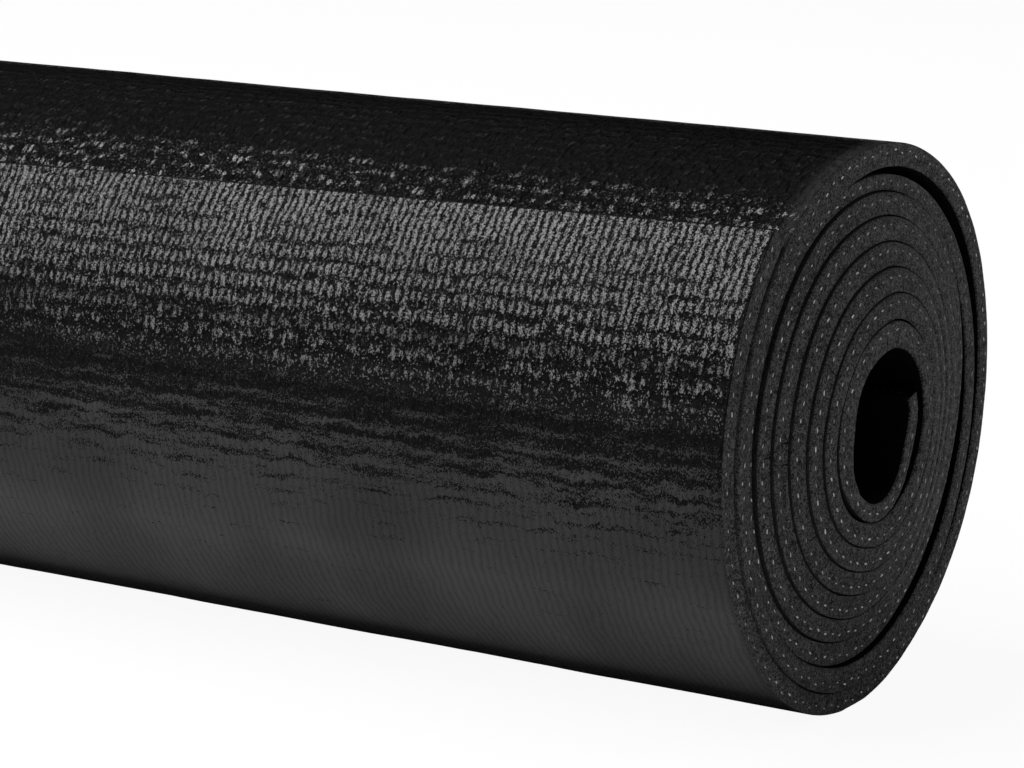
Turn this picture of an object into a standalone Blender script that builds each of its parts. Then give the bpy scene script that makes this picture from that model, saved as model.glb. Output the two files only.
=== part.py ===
"""Exercise mat, rolled up and lying on its side.

The mat is one long laminated sheet. A foam layer faces outward, a second and
thicker foam layer faces inward, and a net of yarn is bonded between them. The
sheet is wound round an open core, tight on one side and a little slack on the
other, and its turns have slid past each other along the roll.

Metres, +Z up. The roll lies along X, and the end at +X is the one where the
inner turns stand proud. The ground is at Z = 0.
"""

import math

import bmesh
import bpy
from mathutils import Vector

# The sheet, laid out flat
MAT_LENGTH = 1.83
MAT_WIDTH = 0.61

# The layers of the sheet, from its outward face in
OUTER_FOAM_THICKNESS = 0.00098
SCRIM_THICKNESS = 0.00030
INNER_FOAM_THICKNESS = 0.00201
LAYER_CLEARANCE = 0.00030

# The roll
CORE_RADIUS = 0.01310
TURN_CLEARANCE = 0.00049
UPRIGHT_SLACK = 0.00030
CORE_LIFT = 0.00066
INNER_END_SPRING = 0.0008
REST_FLAT_DEPTH = 0.0005
CUTTER_OVERRUN = 0.004

SHEET_THICKNESS = (OUTER_FOAM_THICKNESS + SCRIM_THICKNESS + INNER_FOAM_THICKNESS
                   + 2 * LAYER_CLEARANCE)
TURN_PITCH = SHEET_THICKNESS + TURN_CLEARANCE

# Turns are counted outward from three o'clock, as seen from the +X end
STATIONS_PER_TURN = 40
INNER_END_TURN = -0.09
SPRING_TURN_SHARE = 0.3

# Where the winding is slack: the turn that it opens after, how far as a share
# of the sheet's thickness, and the two angles in degrees that it lies between.
# The first row, below nothing, draws the whole core in on the slack side.
SLACK_SHARES = (
    (-1.0, -1.02, -125, 90),
    (0.5, 0.64, -120, 75),
    (0.5, 0.30, -30, 105),
    (1.5, 0.10, -70, 90),
    (1.5, 0.34, -35, 105),
    (3.5, 0.15, -65, 85),
    (4.5, 0.25, -65, 85),
    (5.5, 0.35, -65, 85),
    (6.5, 0.40, -125, 20),
    (7.5, 0.38, 20, 125),
    (7.5, 0.55, -75, 65),
)

# How far each turn has slid along the roll, as a share of the sheet's thickness
SLIDE_SHARES = (
    (-0.1, 1.55),
    (1.5, 1.50),
    (2.5, 1.30),
    (3.5, 0.95),
    (4.5, 0.60),
    (6.0, 0.15),
    (6.6, -0.25),
    (7.5, 0.30),
    (8.5, 0.00),
)

FOAM_COLOR = (0.021, 0.021, 0.023, 1.0)
INNER_FOAM_COLOR = (0.026, 0.026, 0.028, 1.0)
SCRIM_COLOR = (0.42, 0.43, 0.45, 1.0)


def clear_scene():
    for item in list(bpy.data.objects):
        bpy.data.objects.remove(item, do_unlink=True)


def make_collection(name):
    collection = bpy.data.collections.new(name)
    bpy.context.scene.collection.children.link(collection)
    return collection


def make_material(name, color, roughness):
    material = bpy.data.materials.new(name)
    material.use_nodes = True
    shader = material.node_tree.nodes["Principled BSDF"]
    shader.inputs["Base Color"].default_value = color
    shader.inputs["Roughness"].default_value = roughness
    shader.inputs["Metallic"].default_value = 0.0
    return material


def smooth_step(share):
    share = min(max(share, 0.0), 1.0)
    return share * share * (3.0 - 2.0 * share)


def slack_window(degrees, low, high):
    """One between the two angles, falling smoothly to nothing at each."""
    degrees = (degrees + 180.0) % 360.0 - 180.0
    share = (degrees - low) / (high - low)
    if share <= 0.0 or share >= 1.0:
        return 0.0
    return math.sin(math.pi * share) ** 2


def middle_radius(turn):
    """Distance from the roll's axis to the middle of the sheet."""
    degrees = -360.0 * turn
    angle = math.radians(degrees)
    growth = TURN_PITCH + UPRIGHT_SLACK * math.sin(angle) ** 2
    radius = CORE_RADIUS + turn * growth
    radius += CORE_LIFT * (1.0 + math.sin(angle))
    for opens_after, share, low, high in SLACK_SHARES:
        if turn > opens_after:
            radius += share * SHEET_THICKNESS * slack_window(degrees, low, high)
    sprung = (INNER_END_TURN + SPRING_TURN_SHARE - turn) / SPRING_TURN_SHARE
    radius -= INNER_END_SPRING * smooth_step(sprung)
    return radius


def middle_point(turn):
    angle = -2.0 * math.pi * turn
    radius = middle_radius(turn)
    return Vector((0.0, radius * math.cos(angle), radius * math.sin(angle)))


def outward_normal(turn):
    reach = 0.1 / STATIONS_PER_TURN
    along = middle_point(turn + reach) - middle_point(turn - reach)
    return Vector((0.0, -along.z, along.y)).normalized()


def end_slide(turn):
    """How far this place on the sheet has slid towards +X."""
    if turn <= SLIDE_SHARES[0][0]:
        return SLIDE_SHARES[0][1] * SHEET_THICKNESS
    for (turn_a, share_a), (turn_b, share_b) in zip(SLIDE_SHARES, SLIDE_SHARES[1:]):
        if turn <= turn_b:
            mix = smooth_step((turn - turn_a) / (turn_b - turn_a))
            return (share_a + mix * (share_b - share_a)) * SHEET_THICKNESS
    return SLIDE_SHARES[-1][1] * SHEET_THICKNESS


def wind_sheet():
    """Turn counts of the stations from the inner end until the mat is used up."""
    stations = [INNER_END_TURN]
    wound = 0.0
    step = 1.0 / STATIONS_PER_TURN
    while True:
        here = stations[-1]
        length = (middle_point(here + step) - middle_point(here)).length
        if wound + length >= MAT_LENGTH:
            stations.append(here + step * (MAT_LENGTH - wound) / length)
            return stations
        wound += length
        stations.append(here + step)


def face_points(stations, height):
    """Points of the face at this height over the middle of the sheet."""
    points = []
    for turn in stations:
        point = middle_point(turn) + outward_normal(turn) * height
        point.x = end_slide(turn)
        points.append(point)
    return points


def place_roll(stations):
    """The shift that centres the roll over the origin and lays its flat at Z = 0."""
    outside = face_points(stations, SHEET_THICKNESS / 2)
    middle_y = (min(p.y for p in outside) + max(p.y for p in outside)) / 2
    middle_x = (min(p.x for p in outside) + max(p.x for p in outside)) / 2
    ground = min(p.z for p in outside) + REST_FLAT_DEPTH
    return Vector((-middle_x, -middle_y, -ground))


def make_layer(name, collection, stations, shift, top_depth, thickness, material):
    """One layer of the sheet: a wound surface through its middle, thickened."""
    height = SHEET_THICKNESS / 2 - top_depth - thickness / 2
    bm = bmesh.new()
    near_end = Vector((-MAT_WIDTH / 2, 0.0, 0.0))
    row = [bm.verts.new(point + shift + near_end) for point in face_points(stations, height)]
    edges = [bm.edges.new(pair) for pair in zip(row, row[1:])]
    extruded = bmesh.ops.extrude_edge_only(bm, edges=edges)
    far_verts = [item for item in extruded["geom"] if isinstance(item, bmesh.types.BMVert)]
    bmesh.ops.translate(bm, verts=far_verts, vec=Vector((MAT_WIDTH, 0.0, 0.0)))
    mesh = bpy.data.meshes.new(name)
    bm.to_mesh(mesh)
    bm.free()
    mesh.materials.append(material)
    layer = bpy.data.objects.new(name, mesh)
    collection.objects.link(layer)
    shell = layer.modifiers.new("thickness", "SOLIDIFY")
    shell.thickness = thickness
    shell.offset = 0.0
    shell.use_even_offset = True
    return layer


def make_ground_cutter(collection, stations, shift):
    """A block whose top is the ground: what it takes off leaves the rest flat."""
    outside = face_points(stations, SHEET_THICKNESS / 2)
    wide = max(p.y for p in outside) - min(p.y for p in outside)
    slid = max(p.x for p in outside) - min(p.x for p in outside)
    deep = REST_FLAT_DEPTH + CUTTER_OVERRUN
    bpy.ops.mesh.primitive_cube_add(size=1.0, location=(0.0, 0.0, -deep / 2))
    cutter = bpy.context.active_object
    cutter.name = "ground_cutter"
    cutter.scale = (MAT_WIDTH + slid + 2 * CUTTER_OVERRUN, wide, deep)
    for owner in list(cutter.users_collection):
        owner.objects.unlink(cutter)
    collection.objects.link(cutter)
    cutter.hide_render = True
    cutter.display_type = "WIRE"
    return cutter


def cut_rest_flat(layer, cutter):
    cut = layer.modifiers.new("rest_flat", "BOOLEAN")
    cut.operation = "DIFFERENCE"
    cut.solver = "EXACT"
    cut.object = cutter


def finish_layer(layer):
    """Applies the modifiers, then shades the turns smooth and keeps the cut edges sharp."""
    bpy.ops.object.select_all(action="DESELECT")
    layer.select_set(True)
    bpy.context.view_layer.objects.active = layer
    for modifier in list(layer.modifiers):
        bpy.ops.object.modifier_apply(modifier=modifier.name)
    bpy.ops.object.shade_smooth_by_angle(angle=math.radians(30.0))


def distance_to_segment(point, start, end):
    along = end - start
    share = (point - start).dot(along) / along.length_squared
    return (point - (start + along * min(max(share, 0.0), 1.0))).length


def least_turn_gap(stations):
    """Least gap between the outward face of a turn and the inward face of the next."""
    half = SHEET_THICKNESS / 2
    outward = [p.yz for p in face_points(stations, half)]
    inward = [p.yz for p in face_points(stations, -half)]
    least = MAT_LENGTH
    for index, point in enumerate(outward):
        first = index + STATIONS_PER_TURN // 2
        last = min(index + 3 * STATIONS_PER_TURN // 2, len(inward) - 1)
        for other in range(first, last):
            gap = distance_to_segment(point, inward[other], inward[other + 1])
            least = min(least, gap)
    return least


def main():
    clear_scene()
    mat = make_collection("exercise_mat")
    cutters = make_collection("cutters")
    foam = make_material("outer_foam", FOAM_COLOR, 0.55)
    inner_foam = make_material("inner_foam", INNER_FOAM_COLOR, 0.75)
    yarn = make_material("scrim_yarn", SCRIM_COLOR, 0.7)

    stations = wind_sheet()
    shift = place_roll(stations)

    scrim_depth = OUTER_FOAM_THICKNESS + LAYER_CLEARANCE
    inner_depth = scrim_depth + SCRIM_THICKNESS + LAYER_CLEARANCE
    outer = make_layer("outer_foam_layer", mat, stations, shift,
                       0.0, OUTER_FOAM_THICKNESS, foam)
    scrim = make_layer("scrim_net", mat, stations, shift,
                       scrim_depth, SCRIM_THICKNESS, yarn)
    inner = make_layer("inner_foam_layer", mat, stations, shift,
                       inner_depth, INNER_FOAM_THICKNESS, inner_foam)

    cutter = make_ground_cutter(cutters, stations, shift)
    cut_rest_flat(outer, cutter)
    for layer in (outer, scrim, inner):
        finish_layer(layer)

    turns = stations[-1] - stations[0]
    gap = least_turn_gap(stations)
    print(f"wound {turns:.2f} turns, least gap between turns {gap * 1000:.3f} mm")


main()
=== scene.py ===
# %% [markdown]
# # A rolled exercise mat
#
# This lesson builds a black foam exercise mat, rolled up and lying on its side.
# The mat is one long sheet: foam on both faces of a net of yarn. Its outward
# face is pressed with a knitted pattern and has a glossy skin, and its cut end
# shows the spiral of the turns with the pale yarn ends in it.
#
# The first cell loads the frame. Every piece below sits in that frame, in
# metres, with the roll along X and the floor at Z = 0.

# %% Load the frame
import math
import random

import bpy
import numpy as np
from mathutils import Matrix, Vector, noise


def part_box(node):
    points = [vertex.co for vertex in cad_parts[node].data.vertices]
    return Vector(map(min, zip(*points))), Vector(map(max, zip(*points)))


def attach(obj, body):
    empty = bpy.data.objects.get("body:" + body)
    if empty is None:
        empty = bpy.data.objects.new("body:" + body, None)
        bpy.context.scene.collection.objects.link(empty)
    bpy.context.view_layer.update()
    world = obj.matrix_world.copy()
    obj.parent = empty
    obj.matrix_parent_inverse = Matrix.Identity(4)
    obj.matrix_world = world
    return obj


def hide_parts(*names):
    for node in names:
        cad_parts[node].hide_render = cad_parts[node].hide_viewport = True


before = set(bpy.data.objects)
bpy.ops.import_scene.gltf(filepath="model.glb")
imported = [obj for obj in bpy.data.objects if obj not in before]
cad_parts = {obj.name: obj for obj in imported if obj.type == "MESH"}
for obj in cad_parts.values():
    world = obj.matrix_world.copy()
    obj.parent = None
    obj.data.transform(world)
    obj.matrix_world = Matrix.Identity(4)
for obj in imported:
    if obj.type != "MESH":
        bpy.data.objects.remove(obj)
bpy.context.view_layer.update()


def rounded(values):
    return [round(value, 4) for value in values]


# %% [markdown]
# ## The camera
#
# The picture is taken from a little above the roll's axis, beside its cut end,
# with a long lens, so the turns look like ellipses and the roll runs out of the
# left of the picture. A camera can be aimed with a constraint or by angles.
# Here its three axes are written from two angles, because those are what a
# circle seen at a slant gives.

# %% Camera
AZIMUTH = math.radians(32.21)
ELEVATION = math.radians(12.72)
END_CENTRE = Vector((0.30247, -0.000944, 0.053788))
END_IN_PICTURE = (860.4, 430.1)
END_DEPTH = 0.6667
LENS = 125.0
SENSOR_WIDTH = 36.0
PICTURE = (1024, 768)


def add_object(name, data):
    made = bpy.data.objects.new(name, data)
    bpy.context.scene.collection.objects.link(made)
    return made


def set_axes(item, place, right, up, back):
    """Puts a camera or a lamp at this place, facing away from its back."""
    turned = Matrix((right, up, back)).transposed().to_4x4()
    item.matrix_world = Matrix.Translation(place) @ turned


def place_camera():
    """Puts the middle of the cut end at its place in the picture."""
    right = Vector((math.cos(AZIMUTH), math.sin(AZIMUTH), 0.0))
    back = Vector((math.sin(AZIMUTH) * math.cos(ELEVATION),
                   -math.cos(AZIMUTH) * math.cos(ELEVATION),
                   math.sin(ELEVATION)))
    up = back.cross(right)
    data = bpy.data.cameras.new("camera")
    data.lens = LENS
    data.sensor_width = SENSOR_WIDTH
    data.clip_start, data.clip_end = 0.01, 50.0
    pixels = LENS / SENSOR_WIDTH * PICTURE[0]
    across = (END_IN_PICTURE[0] - PICTURE[0] / 2) / pixels * END_DEPTH
    down = (END_IN_PICTURE[1] - PICTURE[1] / 2) / pixels * END_DEPTH
    camera = add_object("camera", data)
    place = END_CENTRE + back * END_DEPTH - right * across + up * down
    set_axes(camera, place, right, up, back)
    bpy.context.scene.camera = camera
    return camera


camera = place_camera()
print("camera at", rounded(camera.matrix_world.translation))

# %% [markdown]
# ## The winding
#
# Everything on this object follows one line: the middle of the sheet, wound
# from the core outward. It could be drawn by hand as a curve, but the turns
# touch on one side and gape on the other, so a formula with a few slack places
# gives a truer spiral and keeps the sheet's length right.

# %% Sizes of the sheet and the winding
MAT_LENGTH = 1.83
MAT_WIDTH = 0.61
SHEET_THICKNESS = 0.00389
TURN_PITCH = 0.00438
CORE_RADIUS = 0.01310
UPRIGHT_SLACK = 0.00030
CORE_LIFT = 0.00066
INNER_END_SPRING = 0.0008
INNER_END_TURN = -0.09
SPRING_TURNS = 0.3

# the turn that it opens after, how far in thicknesses, and between which angles
SLACK = ((-1.0, -1.02, -125, 90), (0.5, 0.64, -120, 75), (0.5, 0.30, -30, 105),
         (1.5, 0.10, -70, 90), (1.5, 0.34, -35, 105), (3.5, 0.15, -65, 85),
         (4.5, 0.25, -65, 85), (5.5, 0.35, -65, 85), (6.5, 0.40, -125, 20),
         (7.5, 0.38, 20, 125), (7.5, 0.55, -75, 65))
# how far the turns have slid along the roll, in thicknesses
SLIDES = ((-0.1, 1.55), (1.5, 1.50), (2.5, 1.30), (3.5, 0.95), (4.5, 0.60),
          (6.0, 0.15), (6.6, -0.06), (7.5, 0.24), (8.5, 0.00))
# how far back the frame's own solid slides, which sets where its box begins
LEAST_SLIDE = -0.25


# %% The line that the sheet follows
NORMAL_REACH = 0.0025
TABLE_STEP = 0.0005
TABLE_END = 9.2


def smooth_step(share):
    share = np.clip(share, 0.0, 1.0)
    return share * share * (3.0 - 2.0 * share)


def slack_window(degrees, low, high):
    share = ((degrees + 180.0) % 360.0 - 180.0 - low) / (high - low)
    inside = (share > 0.0) & (share < 1.0)
    return np.where(inside, np.sin(np.pi * np.clip(share, 0.0, 1.0)) ** 2, 0.0)


def middle_radius(turn):
    degrees = -360.0 * turn
    angle = np.radians(degrees)
    radius = CORE_RADIUS + turn * (TURN_PITCH + UPRIGHT_SLACK * np.sin(angle) ** 2)
    radius = radius + CORE_LIFT * (1.0 + np.sin(angle))
    for opens_after, share, low, high in SLACK:
        opened = (turn > opens_after) * share * SHEET_THICKNESS
        radius = radius + opened * slack_window(degrees, low, high)
    sprung = smooth_step((INNER_END_TURN + SPRING_TURNS - turn) / SPRING_TURNS)
    return radius - INNER_END_SPRING * sprung


def middle_line(turn):
    """Y and Z of the middle of the sheet, about the core."""
    turn = np.asarray(turn, float)
    angle = -2.0 * np.pi * turn
    radius = middle_radius(turn)
    return np.stack([radius * np.cos(angle), radius * np.sin(angle)], -1)


def outward(turn):
    along = middle_line(turn + NORMAL_REACH) - middle_line(turn - NORMAL_REACH)
    normal = np.stack([-along[..., 1], along[..., 0]], -1)
    return normal / np.linalg.norm(normal, axis=-1, keepdims=True)


def end_slide(turn):
    knots = np.array([k for k, _ in SLIDES])
    shares = np.array([s for _, s in SLIDES])
    at = np.clip(np.searchsorted(knots, turn) - 1, 0, len(knots) - 2)
    mix = smooth_step((turn - knots[at]) / (knots[at + 1] - knots[at]))
    return (shares[at] + mix * (shares[at + 1] - shares[at])) * SHEET_THICKNESS


def measure_winding():
    """A fine table of turn against length, up to where the mat is used up."""
    turns = np.arange(INNER_END_TURN, TABLE_END, TABLE_STEP)
    steps = np.linalg.norm(np.diff(middle_line(turns), axis=0), axis=1)
    lengths = np.concatenate([[0.0], np.cumsum(steps)])
    last = int(np.searchsorted(lengths, MAT_LENGTH))
    return turns[:last + 1], lengths[:last + 1]


TURN_TABLE, LENGTH_TABLE = measure_winding()


def turn_at(length):
    return np.interp(length, LENGTH_TABLE, TURN_TABLE)


def length_at(turn):
    return np.interp(turn, TURN_TABLE, LENGTH_TABLE)


OUTER_END_TURN = float(turn_at(MAT_LENGTH))


def place_in_frame():
    """The shift from the core to the frame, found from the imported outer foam's box."""
    low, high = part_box("outer_foam_layer")
    turns = np.linspace(OUTER_END_TURN - 1.0, OUTER_END_TURN, 1441)
    outside = middle_line(turns) + outward(turns) * SHEET_THICKNESS / 2
    slides = np.append(end_slide(TURN_TABLE), LEAST_SLIDE * SHEET_THICKNESS)
    return np.array([(low[0] + high[0]) / 2 - (slides.min() + slides.max()) / 2,
                     (low[1] + high[1]) / 2 - (outside[:, 0].min() + outside[:, 0].max()) / 2,
                     high[2] - outside[:, 1].max()])


SHIFT = place_in_frame()
print(f"{OUTER_END_TURN - INNER_END_TURN:.2f} turns, core axis at y {SHIFT[1]:.5f} z {SHIFT[2]:.5f}")

# %% [markdown]
# ## Foam that gives way
#
# A formula winds a sheet of one thickness, but foam presses flat where a turn
# is tight and swells where it is free. So each turn is eased in or out by up to
# two millimetres where the real roll is, and its thickness fills the room down
# to the turn below, up to a limit. The turns could be squeezed together by a
# simulation instead, but then none would stay where it is wanted.

# %% Easing the turns
# first turn, last turn, millimetres outward, middle angle, half width, fade
EASES = ((-0.5, 0.25, 1.3, 15, 60, 60), (0.3, 6.0, 1.0, 135, 120, 70), (0.3, 4.8, 0.65, 135, 120, 70),
         (1.2, 6.0, 0.7, 195, 60, 45), (5.3, 6.0, 0.4, 80, 60, 60), (0.7, 1.4, 0.8, 0, 70, 60),
         (2.6, 5.5, 0.5, -15, 70, 60), (5.6, 6.5, -0.2, -15, 70, 60), (6.6, 7.4, 0.9, -15, 60, 60),
         (7.4, 9.0, -0.25, 5, 40, 40), (7.4, 9.0, -0.25, 75, 40, 40), (7.4, 9.0, 0.9, 40, 50, 50),
         (7.4, 9.0, -0.4, -65, 40, 40), (7.4, 9.0, -0.3, -100, 40, 40))
# where the free foam is thicker or thinner than elsewhere, in the same columns
SWELLS = ((1.5, 6.2, 1.3, -5, 95, 60), (6.6, 8.35, -0.36, 5, 95, 50))
TURN_FADE = 0.2
FREE_THICKNESS = 0.00425
UPRIGHT_SWELL = 0.00045
SEAM = 0.00018
CORE_INSET = 0.00035
CORE_BULGE = 0.0009


def angle_window(turn, middle, half, fade):
    off = np.abs((-360.0 * turn - middle + 180.0) % 360.0 - 180.0)
    return smooth_step((half - off) / fade)


def turn_window(turn, first, last):
    return smooth_step((turn - first) / TURN_FADE) * (1.0 - smooth_step((turn - last) / TURN_FADE))


def local_changes(rows, turn):
    total = 0.0
    for first, last, far, middle, half, fade in rows:
        window = turn_window(turn, first, last) * angle_window(turn, middle, half, fade)
        total = total + far * 0.001 * window
    return total


def thickness_table():
    """The sheet's thickness at each turn of the fine table."""
    turn, half = TURN_TABLE, SHEET_THICKNESS / 2
    eased = local_changes(EASES, turn)
    face = np.linalg.norm(middle_line(turn) + outward(turn) * (half + eased)[:, None], axis=1)
    room = face - np.interp(turn - 1.0, turn, face) - SEAM
    most = FREE_THICKNESS + UPRIGHT_SWELL * np.sin(2 * np.pi * turn) ** 2
    most = most + local_changes(SWELLS, turn)
    hole = np.linalg.norm(middle_line(turn) - outward(turn) * half, axis=1) + CORE_INSET
    hole = hole - CORE_BULGE * angle_window(turn, 168, 35, 35)
    hole = hole + eased * (turn < 0.4)
    return np.where(turn < INNER_END_TURN + 1.0, face - hole, np.minimum(most, room))


THICKNESS_TABLE = thickness_table()


def thickness_at(turn):
    return np.interp(turn, TURN_TABLE, THICKNESS_TABLE)


print("sheet from", rounded([THICKNESS_TABLE.min(), THICKNESS_TABLE.max()]), "m thick")

# %% [markdown]
# ## From sheet to roll
#
# A point on the mat is named by three plain numbers: the turn it is on, where
# it lies across the mat, and its height over the sheet's middle. One function
# turns them into a place in the frame, so each piece is built flat in the mind
# and comes out rolled.
#
# The last bit of the sheet is left a little straighter than the turn below it,
# as foam is where nothing holds it down, and the foam that would sink under
# the floor is pressed flat. Where the turns have slid along the roll, the cut
# end leans with them, so that they meet in thin dark seams and not in steps.

# %% Placing a point of the sheet
END_STRAIGHT = 0.010
END_STRAIGHTNESS = 0.35
END_SKEW = 0.0206
END_REACH = 0.0003
SKEWED_LENGTH = 0.07
ROLL_DIAMETER = 0.108
ROLL_ROUND = 0.339
INNER_LEAN_ENDS = 5.9
OUTER_LEAN_STARTS = 7.2
OUTER_LEAN = 0.8
SHEAR = 0.84
FLOOR_CLEARANCE = 0.00002


def end_lift(turn):
    """How far the free end stands off, being straighter than the turn below."""
    past = np.maximum(length_at(turn) - (MAT_LENGTH - END_STRAIGHT), 0.0)
    return END_STRAIGHTNESS * past ** 2 / ROLL_DIAMETER


def end_reach(turn, x):
    """The free end is cut a little aslant, so one corner lies further round."""
    near_end = smooth_step(1.0 - (MAT_LENGTH - length_at(turn)) / SKEWED_LENGTH)
    return (END_REACH + END_SKEW * x) * near_end / ROLL_ROUND


def cut_lean(turn):
    """How much the cut end leans at this turn: the inner turns, and the last one's left side."""
    inner = 1.0 - smooth_step((turn - INNER_LEAN_ENDS) / 0.6)
    left = OUTER_LEAN * angle_window(turn, 180, 100, 40)
    return SHEAR * np.maximum(inner, left * smooth_step((turn - OUTER_LEAN_STARTS) / 0.2))


def point_on_sheet(turn, x, height):
    turn, x, height = np.broadcast_arrays(turn, x, height)
    lift = height + end_lift(turn) + local_changes(EASES, turn)
    x = x + end_slide(turn + cut_lean(turn) * height / TURN_PITCH) - end_slide(turn)
    turn = turn + end_reach(turn, x)
    yz = middle_line(turn) + outward(turn) * lift[..., None] + SHIFT[1:]
    return np.stack([x, yz[..., 0], np.maximum(yz[..., 1], FLOOR_CLEARANCE)], -1)


def noise_at(size, *along):
    """Smooth noise from -1 to 1 with features of this size, one value per point."""
    along = np.broadcast_arrays(*along)
    spare = [np.zeros(along[0].size)] * (3 - len(along))
    flat = np.stack([a.ravel() / size for a in along] + spare, -1)
    values = np.array([noise.noise(Vector(p)) for p in flat.tolist()])
    return values.reshape(along[0].shape)


# %% The cut edge
CUT_SWAY = 0.00008
CUT_SWAY_RATE = 76.0
CUT_JITTER = 0.00007
CUT_JITTER_SIZE = 0.0045


def end_x(turn, side):
    """Where the cut edge lies at this turn. The cut wanders a little along X."""
    length = length_at(turn)
    wander = (CUT_SWAY * np.sin(length * CUT_SWAY_RATE + 1.3 * side)
              + CUT_JITTER * noise_at(CUT_JITTER_SIZE, length, side * 3.0))
    return SHIFT[0] + side * MAT_WIDTH / 2 + end_slide(turn) + wander


print("core centre at x", round(float(SHIFT[0]), 5))

# %% [markdown]
# ## Building a wound layer
#
# A foam layer is a strip with a thickness, so its cross-section is a long thin
# ring: along the outward face, over the cut edge, back along the inward face
# and over the other cut edge. Solidify could thicken a plain strip, but then the
# cut edges would be square and smooth. Here each station along the winding gets
# its own ring, with points down the cut edge that can be rounded and nicked.
# The outer turn needs many more points across it than the hidden turns do, so
# there the two sizes of ring are joined by a fan.

# %% The layer builder
EDGE_INSETS = (0.00030, 0.0010, 0.0035, 0.0120)
EDGE_ROWS = len(EDGE_INSETS)
SHARP_ANGLE = math.radians(50.0)
# places in each foam's list of materials
CUT, CORE, HIDDEN, SHOWN = range(4)


def join_rings(one, two, ends):
    """Faces between two rings. The second may have more points across its outward face."""
    extra = len(two) - len(one)
    faces = [(one[r], one[r + 1], two[r + 1], two[r]) for r in range(ends - 1)]
    if extra == 0:
        faces.append((one[ends - 1], one[ends], two[ends], two[ends - 1]))
    else:
        left, right, chain = one[ends - 1], one[ends], two[ends - 1:ends + extra + 1]
        half = len(chain) // 2
        faces += [(left, chain[i + 1], chain[i]) for i in range(half)]
        faces.append((left, right, chain[half]))
        faces += [(right, chain[i + 1], chain[i]) for i in range(half, len(chain) - 1)]
    for r in range(ends, len(one)):
        q = (r + 1) % len(one)
        faces.append((one[r], one[q], two[q + extra if q else 0], two[r + extra]))
    return faces


def keep_value(mesh, name, kind, field, values):
    """Stores a value for each point of the mesh, which a material can read by its name."""
    kept = mesh.attributes.new(name, kind, "POINT")
    kept.data.foreach_set(field, np.asarray(values, dtype=np.float32).ravel())


def mesh_object(name, points, faces, materials, face_materials, places=None):
    mesh = bpy.data.meshes.new(name)
    mesh.from_pydata(np.asarray(points).tolist(), [], faces)
    for material in materials:
        mesh.materials.append(material)
    mesh.polygons.foreach_set("material_index", np.asarray(face_materials, dtype=np.int32))
    if places is not None:
        places = np.asarray(places, dtype=np.float32)
        keep_value(mesh, "sheet_place", "FLOAT_VECTOR", "vector", places)
        low, high = end_x(turn_at(places[:, 0]), -1), end_x(turn_at(places[:, 0]), 1)
        reach = np.minimum(high - places[:, 1], places[:, 1] - low)
        keep_value(mesh, "edge_reach", "FLOAT", "value", np.maximum(reach, 0.0))
    mesh.shade_smooth()
    mesh.set_sharp_from_angle(angle=SHARP_ANGLE)
    return add_object(name, mesh)


def wound_layer(name, groups, materials, caps):
    """Each group is (turns, x, height, material of the face, materials of the other rows)."""
    points, places, faces, kinds, rings = [], [], [], [], []
    count = 0
    for turns, x, height, face_kind, other_kinds in groups:
        points.append(point_on_sheet(turns[:, None], x, height).reshape(-1, 3))
        along = np.broadcast_to(length_at(turns)[:, None], x.shape)
        places.append(np.stack([along, x, height], -1).reshape(-1, 3))
        for _ in turns:
            rings.append((list(range(count, count + x.shape[1])), face_kind, other_kinds))
            count += x.shape[1]
    for (one, _, _), (two, face_kind, other_kinds) in zip(rings, rings[1:]):
        made = join_rings(one, two, EDGE_ROWS)
        kinds += [face_kind] * (len(made) - len(other_kinds)) + other_kinds
        faces += made
    faces += [tuple(reversed(rings[0][0])), tuple(rings[-1][0])]
    return mesh_object(name, np.concatenate(points), faces, materials, kinds + caps,
                       np.concatenate(places))


print("rows at each cut edge:", EDGE_ROWS)

# %% [markdown]
# ## Node helpers
#
# A material in Blender is a small machine of nodes. In code it reads easier
# with a few helpers: one that makes a node and plugs values or other nodes into
# it, some for arithmetic, and one that wraps a pattern as a group with named
# inputs and outputs. A socket knows its tree, so most helpers need only sockets.

# %% Helpers for nodes
def plug(value, socket):
    if isinstance(value, bpy.types.NodeSocket):
        socket.id_data.links.new(value, socket)
    else:
        socket.default_value = value


def plug_all(values, sockets):
    for key, value in dict(values).items():
        plug(value, sockets[key])


def add_node(tree, kind, inputs=(), **settings):
    made = tree.nodes.new("ShaderNode" + kind)
    for key, value in settings.items():
        setattr(made, key, value)
    plug_all(inputs, made.inputs)
    return made


def calc(operation, *values, clamp=False):
    tree = next(v.id_data for v in values if isinstance(v, bpy.types.NodeSocket))
    made = add_node(tree, "Math", enumerate(values), operation=operation, use_clamp=clamp)
    return made.outputs[0]


def times(value, *others):
    for other in others:
        value = calc("MULTIPLY", value, other)
    return value


def add_share(value, share, base):
    """The base plus this share of the value."""
    return calc("MULTIPLY_ADD", value, share, base)


def less(value, taken):
    return calc("SUBTRACT", value, taken)


def highest(one, two):
    return calc("MAXIMUM", one, two)


def centred(value):
    """A value about one half, brought to about nothing."""
    return less(value, 0.5)


def wave(phase):
    """A smooth wave from 0 to 1 and back, once for each unit of phase."""
    return add_share(calc("COSINE", times(phase, 2 * math.pi)), -0.5, 0.5)


def split(vector):
    return add_node(vector.id_data, "SeparateXYZ", {0: vector}).outputs


def join(x, y):
    return add_node(x.id_data, "CombineXYZ", {0: x, 1: y}).outputs[0]


def remap(value, low, high, to_low=0.0, to_high=1.0, kind="SMOOTHSTEP"):
    limits = {"Value": value, "From Min": low, "From Max": high, "To Min": to_low, "To Max": to_high}
    return add_node(value.id_data, "MapRange", limits, interpolation_type=kind).outputs["Result"]


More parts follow.
